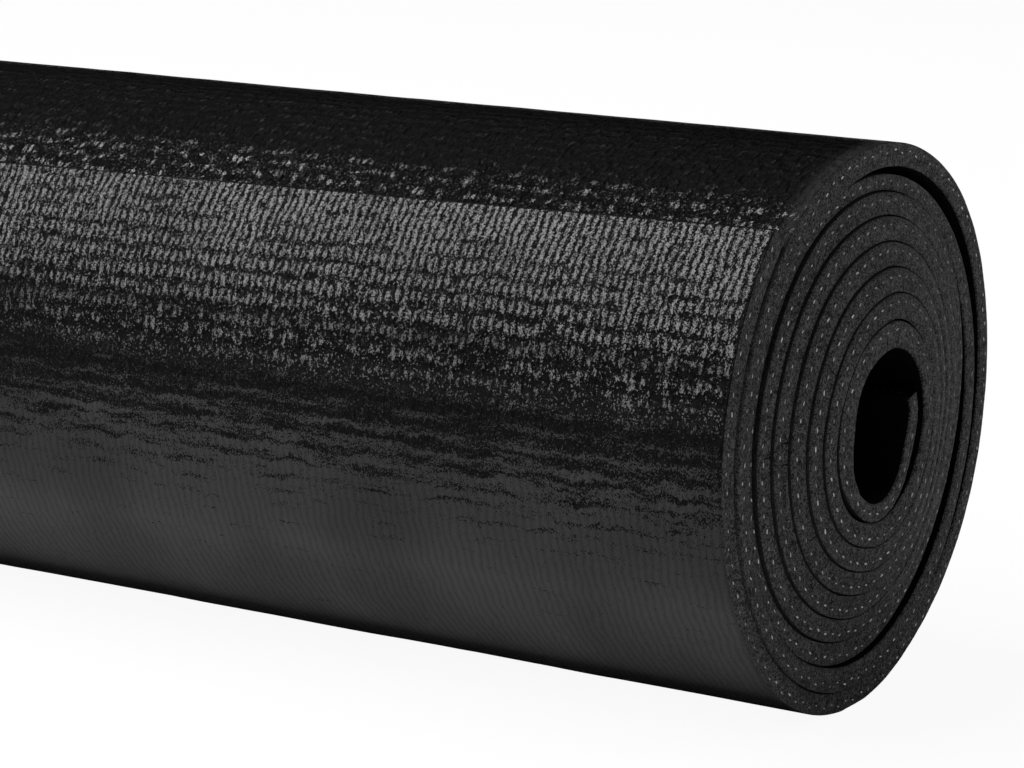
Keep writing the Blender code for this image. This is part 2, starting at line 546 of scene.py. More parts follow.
def noisy(vector, scale, detail=2.0, roughness=0.5, output="Fac"):
    inputs = {"Vector": vector, "Scale": scale, "Detail": detail, "Roughness": roughness}
    return add_node(vector.id_data, "TexNoise", inputs).outputs[output]


def in_millimetres(place):
    scaled = add_node(place.id_data, "VectorMath", {0: place, "Scale": 1000.0}, operation="SCALE")
    return scaled.outputs[0]


# %% Helpers for node groups
def new_group(name, numbers, outputs):
    """A group that reads a place and these numbers, with their usual values."""
    tree = bpy.data.node_groups.new(name, "ShaderNodeTree")
    add_socket = tree.interface.new_socket
    add_socket("Place", in_out="INPUT", socket_type="NodeSocketVector")
    for label, usual in numbers.items():
        add_socket(label, in_out="INPUT", socket_type="NodeSocketFloat").default_value = usual
    for label in outputs:
        add_socket(label, in_out="OUTPUT", socket_type="NodeSocketFloat")
    given = tree.nodes.new("NodeGroupInput").outputs
    return tree, given, tree.nodes.new("NodeGroupOutput").inputs


def use_group(tree, group, inputs):
    made = tree.nodes.new("ShaderNodeGroup")
    made.node_tree = group
    plug_all(inputs, made.inputs)
    return made.outputs


print("node helpers ready")

# %% [markdown]
# ## The knitted pattern of the outward face
#
# While it is still soft, the foam is pressed over its net of yarn, and the face
# takes up the net: ribs that run round the roll, cut into short cells by
# cracks that run along it. A picture of such a face could be wrapped on, but
# a pattern from waves and noise has no seam and any size. The waves are read from
# the place on the flat sheet, so they wind with it. They are bent by slow noise,
# so that no rib is straight, and each rib breaks at its own place.

# %% Ribs, rows and the noises that break them
YARN_PITCH = 0.00312
RIB_PITCH = 0.00165


def read_knit(given):
    """What the height and the gloss of the skin are worked out from."""
    mm = in_millimetres(given["Place"])
    place = split(mm)
    bend = split(noisy(mm, 0.20, 2.0, 0.5, "Color"))
    shiver = split(noisy(mm, 1.1, 1.0, 0.5, "Color"))

    def bent(axis, slow, quick):
        moved = add_share(centred(bend[axis]), slow, place[axis])
        return add_share(centred(shiver[axis]), quick, moved)

    rib_phase = calc("DIVIDE", bent(1, 2.2, 0.55), given["Rib Pitch"])
    jog_place = join(times(place[0], 0.10), times(rib_phase, 0.9))
    jog = centred(noisy(jog_place, 1.0, 1.0))
    row_place = add_share(jog, 2.6, bent(0, 1.8, 0.6))
    to_end = less(given["Free End"], place[0])
    return {
        "mm": mm,
        "across": place[1],
        "streak_along": bent(0, 3.0, 1.0),
        "to_end": to_end,
        "to_end_aslant": add_share(place[1], -0.05, to_end),
        "rib": calc("POWER", wave(rib_phase), 0.62),
        "row_wave": wave(calc("DIVIDE", row_place, given["Row Pitch"])),
        "wrinkle": centred(noisy(mm, 1.3, 3.0, 0.62)),
        "fold": calc("ABSOLUTE", centred(noisy(mm, 0.95, 1.5, 0.5))),
        "ragged": centred(noisy(mm, 3.0, 2.0, 0.7)),
        "tilt": noisy(mm, 0.42, 1.0),
    }


def read_rows(knit):
    """How strong the rows are here, and their crowns. By the free end they fade out."""
    near = calc("MINIMUM", knit["to_end"], 30.0)
    patches = add_share(near, 0.010, noisy(knit["mm"], 0.05, 1.0))
    strength = remap(patches, 0.46, 0.62, 0.15, 1.0)
    frayed = centred(noisy(knit["mm"], 0.09, 1.0))
    faded = remap(add_share(frayed, 24.0, knit["to_end_aslant"]), -6.0, 2.0, 0.85, 0.0)
    row = highest(calc("POWER", knit["row_wave"], 0.34), faded)
    return strength, add_share(less(row, 1.0), strength, 1.0)


print("rib pitch", RIB_PITCH, "m, row pitch", YARN_PITCH, "m")

# %% [markdown]
# ## Where the skin is bright
#
# The real skin is a thin clear film that holds on the crowns of the cells. So the
# pattern also gives a mask for a clear coat. Painting white marks would be
# simpler, but they would stay white in the dark, while a coat shines only where
# a lamp or the pale floor is mirrored in it.
#
# The mask changes round the roll. Its zones are laid where the lamps and the
# pale floor are mirrored in this view, so they are a pattern of highlights and
# sheen painted onto the skin by place, which the coat then shows. Below the free
# end lies a band of whole cells. They thin out to specks, then come streaks that
# close to an even sheen with hardly any relief. On the back the cells return, and
# over the top they thin out again. Each zone is given in millimetres back from
# the free end.

# %% Zones of the skin
CELLS_THIN_OUT = (10.0, 36.0)
CELLS_DIM = (20.0, 36.0)
CELLS_END = (28.0, 37.0)
STREAKS_CLOSE = (27.0, 66.0)
RELIEF_ENDS = (34.0, 52.0)
SPECKS_END = (34.0, 56.0)
FRONT_ENDS = (100.0, 110.0)
SPECKS_RETURN = (110.0, 140.0)
CELLS_RETURN = (120.0, 146.0)
RELIEF_RETURNS = (122.0, 150.0)
TOP_STARTS = (262.0, 284.0)
TOP_CELLS_RETURN = (266.0, 330.0)
TOP_BRIGHTENS = (290.0, 325.0)


def zone(knit, *limits):
    return remap(knit["to_end"], *limits)


def relief(given, knit, row_strength):
    """The height of the skin in metres: each form at its own depth."""
    rows = times(knit["row_wave"], row_strength)
    beads = remap(noisy(knit["mm"], 1.9, 1.0), 0.58, 0.70)
    height = times(knit["rib"], given["Rib Depth"])
    for form, depth in ((rows, "Row Depth"), (knit["wrinkle"], "Wrinkle Depth"),
                        (knit["fold"], "Crease Depth"), (beads, "Crease Depth"),
                        (knit["tilt"], "Cell Tilt")):
        height = add_share(form, given[depth], height)
    front = zone(knit, *RELIEF_ENDS, 1.0, 0.06)
    back = zone(knit, *RELIEF_RETURNS, 0.0, 1.6)
    return times(height, highest(front, back), 0.001)


def coat_on_cells(knit, row):
    """Coat on the crowns of the cells, and only on those raised over a limit."""
    ragged = knit["ragged"]
    crown = calc("MINIMUM", knit["rib"], row)
    crown = add_share(ragged, 3.5, add_share(knit["wrinkle"], 1.8, crown))
    uncreased = remap(knit["fold"], 0.0, 0.045, 0.12, 1.0)
    raised = add_share(centred(knit["row_wave"]), 0.20, knit["tilt"])
    raised = add_share(ragged, zone(knit, *TOP_STARTS, 0.45, 0.80), raised)
    front = zone(knit, *CELLS_THIN_OUT, 0.28, 0.71, "LINEAR")
    back = calc("MINIMUM", zone(knit, *TOP_STARTS, 0.36, 0.80, "LINEAR"),
                remap(knit["to_end_aslant"], *TOP_CELLS_RETURN, 0.80, 0.57, "LINEAR"))
    in_front = zone(knit, *FRONT_ENDS, 1.0, 0.0)
    limit = add_share(less(front, back), in_front, back)
    dimmed = highest(zone(knit, *CELLS_DIM, 1.0, 0.8), zone(knit, *TOP_BRIGHTENS, 0.7, 1.0))
    return times(remap(crown, 0.52, 1.02), uncreased,
                 remap(less(raised, limit), -0.03, 0.05), dimmed)


def coat_in_streaks(knit):
    """Coat in long ragged streaks along the roll, which close to an even sheen."""
    place = join(times(knit["streak_along"], 1.05), times(knit["across"], 0.09))
    streak = add_share(knit["ragged"], 1.15, noisy(place, 1.0, 3.0, 0.6))
    streak = add_share(centred(knit["row_wave"]), 0.15, streak)
    streak = less(streak, zone(knit, *STREAKS_CLOSE, 0.74, 0.18))
    grain = add_share(knit["rib"], 0.22, add_share(knit["ragged"], 0.70, 0.61))
    return times(remap(streak, -0.03, 0.05, 0.05, 1.0), grain)


def coat_mask(knit, row):
    """Cells or streaks by zone, with specks between, ragged at the free end. The zones follow the
    reflections of this view: painted highlight and sheen.
    """
    cells, streaks = coat_on_cells(knit, row), coat_in_streaks(knit)
    cells_shown = highest(zone(knit, *CELLS_END, 1.0, 0.0), zone(knit, *CELLS_RETURN, 0.0, 1.0))
    coat = add_share(less(cells, streaks), cells_shown, streaks)
    specks = remap(noisy(knit["mm"], 2.3, 1.0), 0.60, 0.71, 0.0, 0.62)
    specked = highest(zone(knit, *SPECKS_END, 1.0, 0.0), zone(knit, *SPECKS_RETURN, 0.0, 0.34))
    coat = highest(coat, times(specks, specked))
    unfrayed = remap(add_share(knit["ragged"], 3.0, knit["to_end"]), 0.1, 1.1)
    cloudy = remap(noisy(knit["mm"], 0.03, 2.0), 0.35, 0.62, 0.78, 1.0)
    return times(coat, unfrayed, cloudy)


# %% Group: knitted pattern
def knitted_pattern_group():
    tree, given, out = new_group(
        "knitted_pattern",
        {"Rib Pitch": RIB_PITCH * 1000, "Row Pitch": YARN_PITCH * 1000, "Free End": MAT_LENGTH * 1000,
         "Rib Depth": 0.10, "Row Depth": 0.15, "Wrinkle Depth": 0.34, "Crease Depth": 0.14,
         "Cell Tilt": 0.75},
        ("Height", "Gloss", "Wear"))
    knit = read_knit(given)
    row_strength, row = read_rows(knit)
    plug_all({"Height": relief(given, knit, row_strength),
              "Gloss": coat_mask(knit, row),
              "Wear": noisy(knit["mm"], 0.35, 3.0, 0.6)}, out)
    return tree


KNITTED_PATTERN = knitted_pattern_group()
print("knitted pattern:", len(KNITTED_PATTERN.nodes), "nodes")

# %% [markdown]
# ## The grain of cut foam
#
# Cut foam is a wall of tiny open cells: dark pores with paler rims, a few
# tenths of a millimetre wide. Modelling each would take millions of faces.
# One group gives a shade and a height for it, and both foams use it, the
# inner one with larger cells.

# %% Group: foam cells
def foam_cells_group():
    tree, given, out = new_group("foam_cells", {"Cell Size": 0.26, "Pore Depth": 0.05},
                                 ("Shade", "Height"))
    mm = in_millimetres(given["Place"])
    scale = calc("DIVIDE", 1.0, given["Cell Size"])
    cells = add_node(tree, "TexVoronoi", {"Vector": mm, "Scale": scale}, feature="F1").outputs
    cell_tone = split(cells["Color"])[0]
    fine = noisy(mm, times(scale, 1.7), 2.0, 0.7)
    broad = noisy(mm, 0.35, 3.0, 0.6)
    pore = times(remap(cells["Distance"], 0.25, 0.55, 1.0, 0.0), remap(cell_tone, 0.52, 0.66))
    tone = 0.5
    for part, share in ((fine, 3.2), (broad, 0.5), (cell_tone, 1.0)):
        tone = add_share(centred(part), share, tone)
    rim = less(1.0, times(pore, 0.9))
    height = add_share(pore, -1.0, times(fine, 0.9))
    plug_all({"Shade": calc("MULTIPLY", tone, rim, clamp=True),
              "Height": times(height, given["Pore Depth"], 0.001)}, out)
    return tree


FOAM_CELLS = foam_cells_group()
print("foam cells:", len(FOAM_CELLS.nodes), "nodes")

# %% [markdown]
# ## The finishes
#
# The outward skin is nearly black foam under its broken clear coat. By the cut
# edge over the top it is painted a soft grey, a painted highlight where light
# rakes over the rounded rim. Cut foam is dull and a little paler. The yarn is
# white polyester. Each finish is one Principled shader, and only its colour,
# roughness, coat and bump change over the surface.

# %% Helpers for materials
BLACK = (0.0012, 0.0012, 0.0013)
# painted sheen: a slightly paler black on the coat mask, whose zones follow the reflections
PAINTED_SHEEN_BLACK = (0.0026, 0.0026, 0.0028)
# painted highlight: the soft grey of the skin's rim where light rakes over it
RIM_HIGHLIGHT_GREY = (0.026, 0.026, 0.028)
CUT_GREY = (0.066, 0.066, 0.069)


def new_material(name):
    material = bpy.data.materials.new(name)
    material.use_nodes = True
    tree = material.node_tree
    return material, tree, tree.nodes["Principled BSDF"]


def blend(share, dark, light):
    """A colour between two. Either may come from another node."""
    made = add_node(share.id_data, "Mix", {0: share}, data_type="RGBA")
    for colour, socket in ((dark, made.inputs[6]), (light, made.inputs[7])):
        plug((*colour, 1.0) if isinstance(colour, tuple) else colour, socket)
    return made.outputs[2]


def bump(height):
    inputs = {"Height": height, "Strength": 1.0, "Distance": 1.0}
    return add_node(height.id_data, "Bump", inputs).outputs[0]


def object_place(tree):
    return add_node(tree, "TexCoord").outputs["Object"]


def kept_value(tree, name, output="Fac"):
    return add_node(tree, "Attribute", attribute_name=name).outputs[output]


# %% Materials
def painted_edge_highlight(tree, along):
    """Soft grey painted on the skin by the cut edge, strongest just past the turn's start: a painted
    highlight where light rakes over the rim.
    """
    reach = kept_value(tree, "edge_reach")
    start = float(length_at(OUTER_END_TURN - 1.0))
    rim_highlight_share = times(remap(along, start + 0.002, start + 0.009, 1.0, 0.0),
                 remap(reach, 0.0014, 0.0034, 1.0, 0.0))
    faint_highlight_share = times(remap(along, start + 0.030, start + 0.075, 0.55, 0.0),
                   remap(reach, 0.0008, 0.0050, 1.0, 0.0))
    return highest(rim_highlight_share, faint_highlight_share)


def skin_material():
    material, tree, shader = new_material("embossed_skin")
    place = kept_value(tree, "sheet_place", "Vector")
    pattern = use_group(tree, KNITTED_PATTERN, {"Place": place})
    # The grey by the cut edge is a painted highlight of raking light; the coat is left off there.
    rim_highlight_share = painted_edge_highlight(tree, split(place)[0])
    # The base colour is lifted a little along the coat mask: painted sheen.
    black = blend(pattern["Gloss"], BLACK, PAINTED_SHEEN_BLACK)
    plug_all({"Base Color": blend(rim_highlight_share, black, RIM_HIGHLIGHT_GREY),
              "Roughness": remap(pattern["Wear"], 0.35, 0.7, 0.32, 0.42),
              "Coat Weight": times(pattern["Gloss"], less(1.0, rim_highlight_share)),
              "Coat Roughness": 0.17, "Coat IOR": 1.53, "Specular IOR Level": 0.03,
              "Normal": bump(pattern["Height"])}, shader.inputs)
    return material


def painted_gap_shade(tree):
    """One by the cut edge and nothing further in, weaker on the inner turns. The foam between the turns
    keeps its grey by the cut and is painted black further in: painted shade in the gaps and seams
    between turns.
    """
    along = split(kept_value(tree, "sheet_place", "Vector"))[0]
    return times(remap(kept_value(tree, "edge_reach"), 0.003, 0.010, 1.0, 0.0),
                 remap(along, float(length_at(6.9)), float(length_at(7.3)), 0.25, 1.0))


def foam_material(name, cell, depth, dark, light, gloss, roughness=None, paler=None):
    """Bare foam. With no roughness given, it follows the shade of the cells."""
    material, tree, shader = new_material(name)
    inputs = {"Place": object_place(tree), "Cell Size": cell, "Pore Depth": depth}
    cells = use_group(tree, FOAM_CELLS, inputs)
    shade = cells["Shade"]
    plug_all({"Base Color": blend(times(paler(tree), shade) if paler else shade, dark, light),
              "Roughness": roughness or remap(shade, 0.0, 1.0, 0.95, 0.75),
              "Specular IOR Level": gloss, "Normal": bump(cells["Height"])}, shader.inputs)
    return material


def yarn_material():
    material, tree, shader = new_material("scrim_yarn")
    fibres = noisy(object_place(tree), 9000.0, 1.0)
    # The stored tone holds each yarn's own tone and its painted shade.
    tone = times(kept_value(tree, "yarn_tone_and_shade"), remap(fibres, 0.3, 0.7, 0.75, 1.0))
    plug_all({"Base Color": blend(tone, (0.01, 0.01, 0.011), (0.52, 0.53, 0.55)),
              "Roughness": 0.6, "Normal": bump(times(fibres, 0.00004))}, shader.inputs)
    return material


SKIN = skin_material()
OUTER_CUT = foam_material("outer_foam_cut", 0.46, 0.12, BLACK, CUT_GREY, 0.30)
INNER_CUT = foam_material("inner_foam_cut", 0.54, 0.15, BLACK, CUT_GREY, 0.30)
# The faces between the turns: grey foam by the cut edge, painted shade further into the gaps and on the
# inner turns.
OUTWARD_FACE = foam_material("foam_between_turns", 0.38, 0.06, (0.0024, 0.0024, 0.0026),
                             (0.060, 0.060, 0.063), 0.2, 0.85, painted_gap_shade)
INWARD_FACE = foam_material("foam_in_the_core", 0.40, 0.05, (0.0006, 0.0006, 0.0006),
                            (0.0035, 0.0035, 0.0037), 0.05, 0.9)
YARN = yarn_material()
print("materials:", [m.name for m in (SKIN, OUTER_CUT, INNER_CUT, OUTWARD_FACE, INWARD_FACE, YARN)])

# %% [markdown]
# ## The outer foam
#
# This is the foam from the outward face down to the net. Its last turn is the
# whole visible face of the roll, so its stations lie close together and its face
# has the low swells of soft foam in the mesh itself. A bump could fake these,
# but not at the outline. The cut edge is rounded on the outward side, where the
# skin is drawn over it, and runs square to the net below.

# %% Face of the outer foam
FOAM_TOP = SHEET_THICKNESS / 2
YARN_HEIGHT = FOAM_TOP - 0.00150
# the size and the height of each swell of the face
BROAD_SWELLS = ((0.045, 0.00010), (0.014, 0.00009))
ROW_SWELL = (0.0055, 0.00003)
CALM_EDGE = 0.035
FREE_END_ROUND = 0.00035
FREE_END_ROUND_LENGTH = 0.0008


def stations(first, last, step):
    """Turns from first to last, this far apart along the sheet."""
    start, stop = length_at(first), length_at(last)
    return turn_at(np.linspace(start, stop, max(2, int(round((stop - start) / step)) + 1)))


def swell(turn, x):
    """The soft unevenness of the face: broad swells and the faint rows of the net."""
    length = length_at(turn)
    broad = sum(high * noise_at(size, length, x) for size, high in BROAD_SWELLS)
    broad = broad * (0.15 + 0.85 * smooth_step((end_x(turn, 1) - x) / CALM_EDGE))
    return broad + ROW_SWELL[1] * noise_at(ROW_SWELL[0], length, x)


def round_free_end(turn, height):
    """The outward edge of the free end is worn round."""
    left = MAT_LENGTH - length_at(turn)
    return height - FREE_END_ROUND * np.clip(1.0 - left / FREE_END_ROUND_LENGTH, 0.0, 1.0) ** 2


# %% Outer foam
OUTER_TURN_STARTS = OUTER_END_TURN - 1.03
HIDDEN_STEP = 0.0026
SHOWN_STEP = 0.00068
SHOWN_ROWS = 140
UNDER_EDGE = 0.004
OUTER_FRAY = 0.00004
# how far in from the cut, and how far down from the face
CUT_EDGE_OUTER = ((0.00009, 0.00008), (0.0, 0.00030), (-0.00003, 0.00080))


def ring_rows(low, high, rows, down):
    """The first rows, then down one cut edge and in, and out and up the other."""
    rows = rows + [(high - inset, level) for inset, level in down]
    rows += [(low + inset, level) for inset, level in reversed(down)]
    return np.stack([x for x, _ in rows], -1), np.stack([level for _, level in rows], -1)


def outer_foam_rows(turns, middle_rows):
    """Rows round the cross-section. The middle rows are there only on the shown turn."""
    low, high = end_x(turns, -1), end_x(turns, 1)
    across = [low + inset for inset in EDGE_INSETS]
    first, last = low + EDGE_INSETS[-1], high - EDGE_INSETS[-1]
    across += [first + (last - first) * k / (middle_rows + 1) for k in range(1, middle_rows + 1)]
    across += [high - inset for inset in reversed(EDGE_INSETS)]
    across = np.stack(across, -1)
    face = np.full(across.shape, FOAM_TOP)
    if middle_rows:
        calm = np.clip((OUTER_END_TURN - turns[:, None] + 0.02) * 30, 0.3, 1)
        face = face + swell(turns[:, None], across) * calm
    fray = OUTER_FRAY * noise_at(0.0007, length_at(turns)[:, None], np.arange(3.0)[None, :])
    down = [(inset - fray[:, k], np.full(len(turns), FOAM_TOP - depth))
            for k, (inset, depth) in enumerate(CUT_EDGE_OUTER)]
    level = np.full(len(turns), YARN_HEIGHT)
    down += [(0.0, level), (UNDER_EDGE, level)]
    x, height = ring_rows(low, high, [*zip(across.T, face.T)], down)
    return x, round_free_end(turns[:, None], height)


def make_outer_foam():
    inner = stations(INNER_END_TURN, OUTER_TURN_STARTS, HIDDEN_STEP)
    outer = stations(OUTER_TURN_STARTS + 0.004, OUTER_END_TURN, SHOWN_STEP)
    groups = []
    for turns, middle_rows, kind in ((inner, 0, HIDDEN), (outer, SHOWN_ROWS, SHOWN)):
        x, height = outer_foam_rows(turns, middle_rows)
        other_rows = x.shape[1] - 2 * EDGE_ROWS - middle_rows
        groups.append((turns, x, height, kind, [CUT] * other_rows))
    materials = [OUTER_CUT, INWARD_FACE, OUTWARD_FACE, SKIN]
    return wound_layer("outer_foam", groups, materials, [CORE, CUT])


outer_foam = make_outer_foam()
print("outer foam:", len(outer_foam.data.polygons), "faces")

# %% [markdown]
# ## The inner foam
#
# The thicker foam under the net lies against the floor in use. In the roll it
# shows at the cut end and inside the core. It has split in places when it was
# cut, and those short nicks are in the mesh: stations close together, the middle
# one drawn in. They could be cut out with a boolean, but that leaves poor faces.

# %% Inner foam
NICK_TURNS = (0.661, 0.741, 0.97, 1.38, 1.717, 2.604, 2.79, 3.42, 3.770, 4.507, 4.525, 5.28, 5.514,
              6.74, 7.66, 7.70, 7.735, 7.79, 8.22)
NICK_DEPTH = 0.0011
NICK_STATIONS = (-0.0005, -0.00014, 0.0, 0.00014, 0.0005)
NICK_ROOM = 0.0009
INNER_STEP = 0.0018
INNER_FRAY = 0.00006
# depths down the cut edge, as shares of the foam under the net
CUT_EDGE_INNER = (0.12, 0.30, 0.50, 0.68)
# how far in from the cut, and how far up from the inward face
CORNER_INNER = ((0.00004, 0.00024), (0.00015, 0.00007), (0.00040, 0.0), (0.0022, 0.0))
CORE_EDGE = 0.006
# the rows that look into the core
CORE_ROWS = slice(10, 15)


def inner_foam_rows(turns, nicked):
    """Rows round the cross-section. Nicked is one at a station that is drawn in."""
    low, high = end_x(turns, -1), end_x(turns, 1)
    bottom = FOAM_TOP - thickness_at(turns)
    thick = YARN_HEIGHT - bottom
    level = np.full(len(turns), YARN_HEIGHT)
    rows = [(e, level) for e in (low, low + UNDER_EDGE, high - UNDER_EDGE, high)]
    fray = INNER_FRAY * noise_at(0.0008, length_at(turns)[:, None], np.arange(4.0)[None, :])
    down = [(nicked * smooth_step((share - 0.1) / 0.5) * NICK_DEPTH - fray[:, k],
             YARN_HEIGHT - share * thick) for k, share in enumerate(CUT_EDGE_INNER)]
    down += [(inset + nicked * NICK_DEPTH, bottom + rise) for inset, rise in CORNER_INNER]
    return ring_rows(low, high, rows, down + [(CORE_EDGE, bottom)])


def inner_stations():
    """The turns of the stations, and a one for each that is the middle of a nick."""
    turns = set(stations(INNER_END_TURN, OUTER_END_TURN, INNER_STEP).tolist())
    for nick in NICK_TURNS:
        at = length_at(nick)
        turns -= {t for t in turns if abs(length_at(t) - at) < NICK_ROOM}
        turns |= {float(turn_at(at + d)) for d in NICK_STATIONS}
    turns = np.array(sorted(turns))
    nicked = np.zeros(len(turns))
    for nick in NICK_TURNS:
        nicked[np.argmin(abs(turns - turn_at(length_at(nick))))] = 1.0
    return turns, nicked


def make_inner_foam():
    turns, nicked = inner_stations()
    x, height = inner_foam_rows(turns, nicked)
    kinds = [CUT] * x.shape[1]
    kinds[CORE_ROWS] = [CORE] * len(kinds[CORE_ROWS])
    return wound_layer("inner_foam", [(turns, x, height, CORE, kinds)], [INNER_CUT, INWARD_FACE],
                       [CORE, CUT])


inner_foam = make_inner_foam()
print("inner foam:", len(inner_foam.data.polygons), "faces")

# %% [markdown]
# ## The net of yarn
#
# The net is bonded between the foams and shows only where the sheet was cut:
# as a row of pale dots along the spiral at both ends of the roll, and along
# the sheet's own two ends. Each yarn across the mat is a thin flattened tube from
# one cut end to the other. It stands a hair proud with a domed tip, and sits a
# little high or low by turns, as knitted yarns do. The yarns along the mat would
# be hidden along their whole length, so only their ends are made.

# %% Yarn tubes
TUBE_SIDES = 8
TIP_DOME = 0.00004
TIP_SHARE = 0.55


def yarn_tube(start, stop, broad, thin, broad_radius, thin_radius):
    """Points and faces of a flattened tube with a domed tip at each end."""
    dome = (stop - start).normalized() * TIP_DOME
    points, faces = [], []
    for centre, share in ((start - dome, TIP_SHARE), (start, 1.0), (stop, 1.0),
                          (stop + dome, TIP_SHARE)):
        for k in range(TUBE_SIDES):
            angle = 2 * math.pi * k / TUBE_SIDES
            points.append(centre + broad * (math.cos(angle) * broad_radius * share)
                          + thin * (math.sin(angle) * thin_radius * share))
    rings = [range(n * TUBE_SIDES, (n + 1) * TUBE_SIDES) for n in range(4)]
    for one, two in zip(rings, rings[1:]):
        faces += join_rings(one, two, TUBE_SIDES - 1)
    return points, faces + [tuple(reversed(rings[0])), tuple(rings[-1])]


def tubes_object(name, tubes, tones_and_shade):
    points, faces, tone_and_shade_values = [], [], []
    for (tube_points, tube_faces), tone in zip(tubes, tones_and_shade):
        first = len(points)
        points += tube_points
        faces += [tuple(first + i for i in face) for face in tube_faces]
        tone_and_shade_values += [tone] * len(tube_points)
    made = mesh_object(name, [tuple(p) for p in points], faces, [YARN], [0] * len(faces))
    keep_value(made.data, "yarn_tone_and_shade", "FLOAT", "value", tone_and_shade_values)
    return made


def sheet_vector(turn, x, height):
    return Vector(point_on_sheet(turn, x, height).tolist())


# %% Yarns across the mat
FIRST_YARN = 0.0015
ZIGZAG = 0.00030
CROSS_YARN_DEPTH = 0.00012
CROSS_YARN_SIZE = (0.00044, 0.00017)


def make_cross_yarns():
    rng = random.Random(11)
    tubes, tones_and_shade = [], []
    for k in range(int((MAT_LENGTH - 0.0031) / YARN_PITCH) + 1):
        turn = float(turn_at(FIRST_YARN + k * YARN_PITCH + rng.uniform(-0.00022, 0.00022)))
        outer_share = min(max((turn - 3.0) / 4.0, 0.0), 1.0)
        zigzag = (1 if k % 2 else -1) * ZIGZAG * outer_share + rng.uniform(-0.00008, 0.00008)
        height = YARN_HEIGHT + zigzag - CROSS_YARN_DEPTH
        proud = rng.uniform(-0.00001, 0.00009)
        ends = [sheet_vector(turn, float(end_x(turn, side)) + side * proud, height) for side in (-1, 1)]
        ny, nz = outward(turn).tolist()
        tilt = rng.uniform(-0.35, 0.35)
        radial, tangent = Vector((0, ny, nz)), Vector((0, nz, -ny))
        broad = tangent * math.cos(tilt) + radial * math.sin(tilt)
        thin = radial * math.cos(tilt) - tangent * math.sin(tilt)
        size = rng.uniform(0.75, 1.15) * (1.08 - 0.10 * outer_share)
        tubes.append(yarn_tube(*ends, broad, thin, *(radius * size for radius in CROSS_YARN_SIZE)))
        tone = rng.uniform(0.35, 1.0)
        # painted shade: on the inner turns the yarn ends are darkened towards the right of the cut end
        shaded = max(math.cos(-2 * math.pi * turn - math.radians(25.0)), 0.0)
        if turn < OUTER_END_TURN - 1.0:
            tone *= 1.0 - 0.65 * min(1.0, 1.3 * shaded)
        tones_and_shade.append(tone)
    return tubes_object("cross_yarns", tubes, tones_and_shade)


# %% Ends of the yarns along the mat
LONG_YARN_HEIGHT = YARN_HEIGHT - 0.0001
LONG_YARN_SIZE = (0.00022, 0.00015)
LONG_YARN_STUB = 0.004


def make_long_yarn_ends():
    rng = random.Random(5)
    across = Vector((1, 0, 0))
    tubes, tones_and_shade = [], []
    for end, sign in ((OUTER_END_TURN, 1), (INNER_END_TURN, -1)):
        inside = float(turn_at(length_at(end) - sign * LONG_YARN_STUB))
        low, high = float(end_x(end, -1)), float(end_x(end, 1))
        for k in range(int((high - low) / RIB_PITCH) - 1):
            x = low + (k + 1) * RIB_PITCH + rng.uniform(-0.0001, 0.0001)
            tip = sheet_vector(end, x, LONG_YARN_HEIGHT)
            root = sheet_vector(inside, x, LONG_YARN_HEIGHT)
            tip = tip + (tip - root).normalized() * rng.uniform(0.0, 0.00008)
            thin = across.cross((tip - root).normalized())
            tubes.append(yarn_tube(root, tip, across, thin, *LONG_YARN_SIZE))
            # painted shade: the yarn ends at the inner free end, deep in the core, are painted nearly
            # black
            tones_and_shade.append(rng.uniform(0.2, 0.8) if sign > 0 else rng.uniform(0.0, 0.03))
    return tubes_object("long_yarn_ends", tubes, tones_and_shade)


cross_yarns = make_cross_yarns()
long_yarn_ends = make_long_yarn_ends()
print("yarn faces:", len(cross_yarns.data.polygons), "+", len(long_yarn_ends.data.polygons))

# %% [markdown]
# ## Tying the pieces to the frame
#
# Each piece rides on the one body and stands for the frame's plainer solid.

# %% Ride and replace
for piece, node, slot in ((outer_foam, "outer_foam_layer", "outer_foam"),
                          (inner_foam, "inner_foam_layer", "inner_foam"),
                          (cross_yarns, "scrim_net", "scrim_yarn"),
                          (long_yarn_ends, "scrim_net", "scrim_yarn")):
    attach(piece, "root")
    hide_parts(node)

# %% [markdown]
# ## The set
#
# A glossy black thing is lit by what it reflects. The pale floor gives the low
# sheen on the underside. Close to the roll it reflects darker, since a real floor
# lies in the roll's own shade there. Black cards round the set keep everything
# else dark, so that the top of the roll and the belt above the sheen stay
# black. The cards are seen only in reflections.

# %% Floor and cards
WHITE = (1, 1, 1, 1)


def stage_plane(name, low, high, level, material):
    (x0, y0), (x1, y1) = low, high
    corners = [(x0, y0, level), (x1, y0, level), (x1, y1, level), (x0, y1, level)]
    mesh = bpy.data.meshes.new(name)
    mesh.from_pydata(corners, [], [(0, 1, 2, 3)])
    mesh.materials.append(material)
    made = add_object(name, mesh)
    return made


def plainly_seen(rays):
    """One for rays that look at the thing, nothing for those that only light others by it."""
    mirrored = highest(rays["Is Glossy Ray"], rays["Is Transmission Ray"])
    return highest(rays["Is Camera Ray"], mirrored)


def mix_shaders(share, one, two):
    return add_node(share.id_data, "MixShader", {0: share, 1: one, 2: two}).outputs[0]


def matt_material(name, grey, roughness):
    material, tree, shader = new_material(name)
    plug_all({"Base Color": (grey, grey, grey, 1.0), "Roughness": roughness,
              "Specular IOR Level": 0.0}, shader.inputs)
    return material, tree, shader


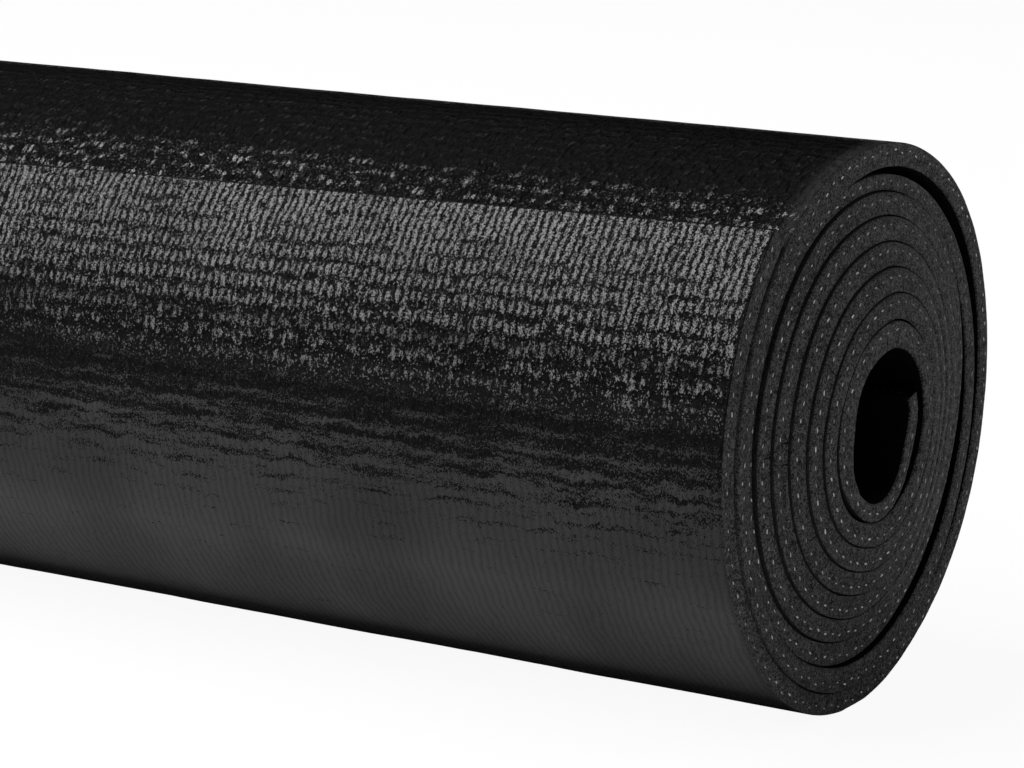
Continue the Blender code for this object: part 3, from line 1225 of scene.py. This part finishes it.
def floor_material():
    material, tree, shader = matt_material("pale_floor", 0.80, 0.9)
    rays = add_node(tree, "LightPath").outputs
    away = calc("ABSOLUTE", split(object_place(tree))[1])
    lit = calc("ADD", remap(away, 0.023, 0.058, 0.0, 0.72, "LINEAR"),
               remap(away, 0.06, 0.20, 0.0, 0.22))
    strength = less(1.0, times(rays["Is Glossy Ray"], less(1.0, lit)))
    glow = add_node(tree, "Emission", {"Color": WHITE, "Strength": strength}).outputs[0]
    share = times(plainly_seen(rays), 0.93)
    plug(mix_shaders(share, shader.outputs[0], glow),
         tree.nodes["Material Output"].inputs["Surface"])
    return material


def only_in_reflections(item):
    for kind in ("camera", "diffuse", "transmission", "shadow", "volume_scatter"):
        setattr(item, "visible_" + kind, False)


def card_dome(radius, material):
    """A ball of black card round the whole set, half of it under the floor."""
    bpy.ops.mesh.primitive_uv_sphere_add(segments=48, ring_count=24, radius=radius, location=(0, 0, 0))
    dome = bpy.context.active_object
    dome.name = "card_dome"
    dome.data.materials.append(material)
    return dome


CARD, _, _ = matt_material("black_card", 0.0, 1.0)
stage_plane("floor", (-8, -8), (8, 8), 0, floor_material())
for card in (stage_plane("front_card", (-3, -4), (3, -0.80), 0.002, CARD), card_dome(6.0, CARD)):
    only_in_reflections(card)

# %% [markdown]
# ## The lamps
#
# One large soft box hangs over the near side and gives the bright band along the
# roll. A low one in front fills the streaks under it. Three weaker ones, over the
# top, beside the cut end and behind, keep the edges readable. A picture of a
# studio could light the set too, but lamps can be moved one at a time.

# %% Lamps
# name, centre, the point it faces, width and height, and radiance
SOFT_BOXES = (("near_soft_box", (-0.32, -0.30, 0.84), (-0.32, 0.15, 0.06), (0.86, 1.44), 5.6),
              ("low_soft_box", (-0.30, -1.00, 0.27), (-0.30, 0.0, 0.06), (0.74, 0.34), 5.0),
              ("top_soft_box", (-0.25, 0.55, 0.85), (0.0, 0.0, 0.05), (0.9, 0.9), 0.25),
              ("end_soft_box", (1.45, 0.55, 0.70), (0.3, 0.0, 0.05), (0.9, 0.9), 1.2),
              ("far_soft_box", (1.3, 1.3, 0.9), (0.1, 0.0, 0.05), (0.8, 0.8), 0.8))


def soft_box(name, centre, faces, size, radiance):
    """A rectangular lamp. A lamp's power is its radiance times pi times its area."""
    data = bpy.data.lights.new(name, "AREA")
    data.shape = "RECTANGLE"
    data.size, data.size_y = size
    data.energy = radiance * math.pi * size[0] * size[1]
    back = (Vector(centre) - Vector(faces)).normalized()
    side = Vector((1, 0, 0))
    side = (side - back * side.dot(back)).normalized()
    set_axes(add_object(name, data), centre, side, back.cross(side), back)


def pale_world():
    """White where it is looked at, and a dim light on everything else."""
    world = bpy.data.worlds.new("pale_world")
    world.use_nodes = True
    tree = world.node_tree
    tree.nodes.clear()
    seen = plainly_seen(add_node(tree, "LightPath").outputs)
    dim, white = [add_node(tree, "Background", {"Color": WHITE, "Strength": strength}).outputs[0]
                  for strength in (0.30, 1.0)]
    out = add_node(tree, "OutputWorld")
    plug(mix_shaders(seen, dim, white), out.inputs["Surface"])
    bpy.context.scene.world = world


for box in SOFT_BOXES:
    soft_box(*box)
pale_world()
bpy.context.scene.view_settings.view_transform = "Standard"
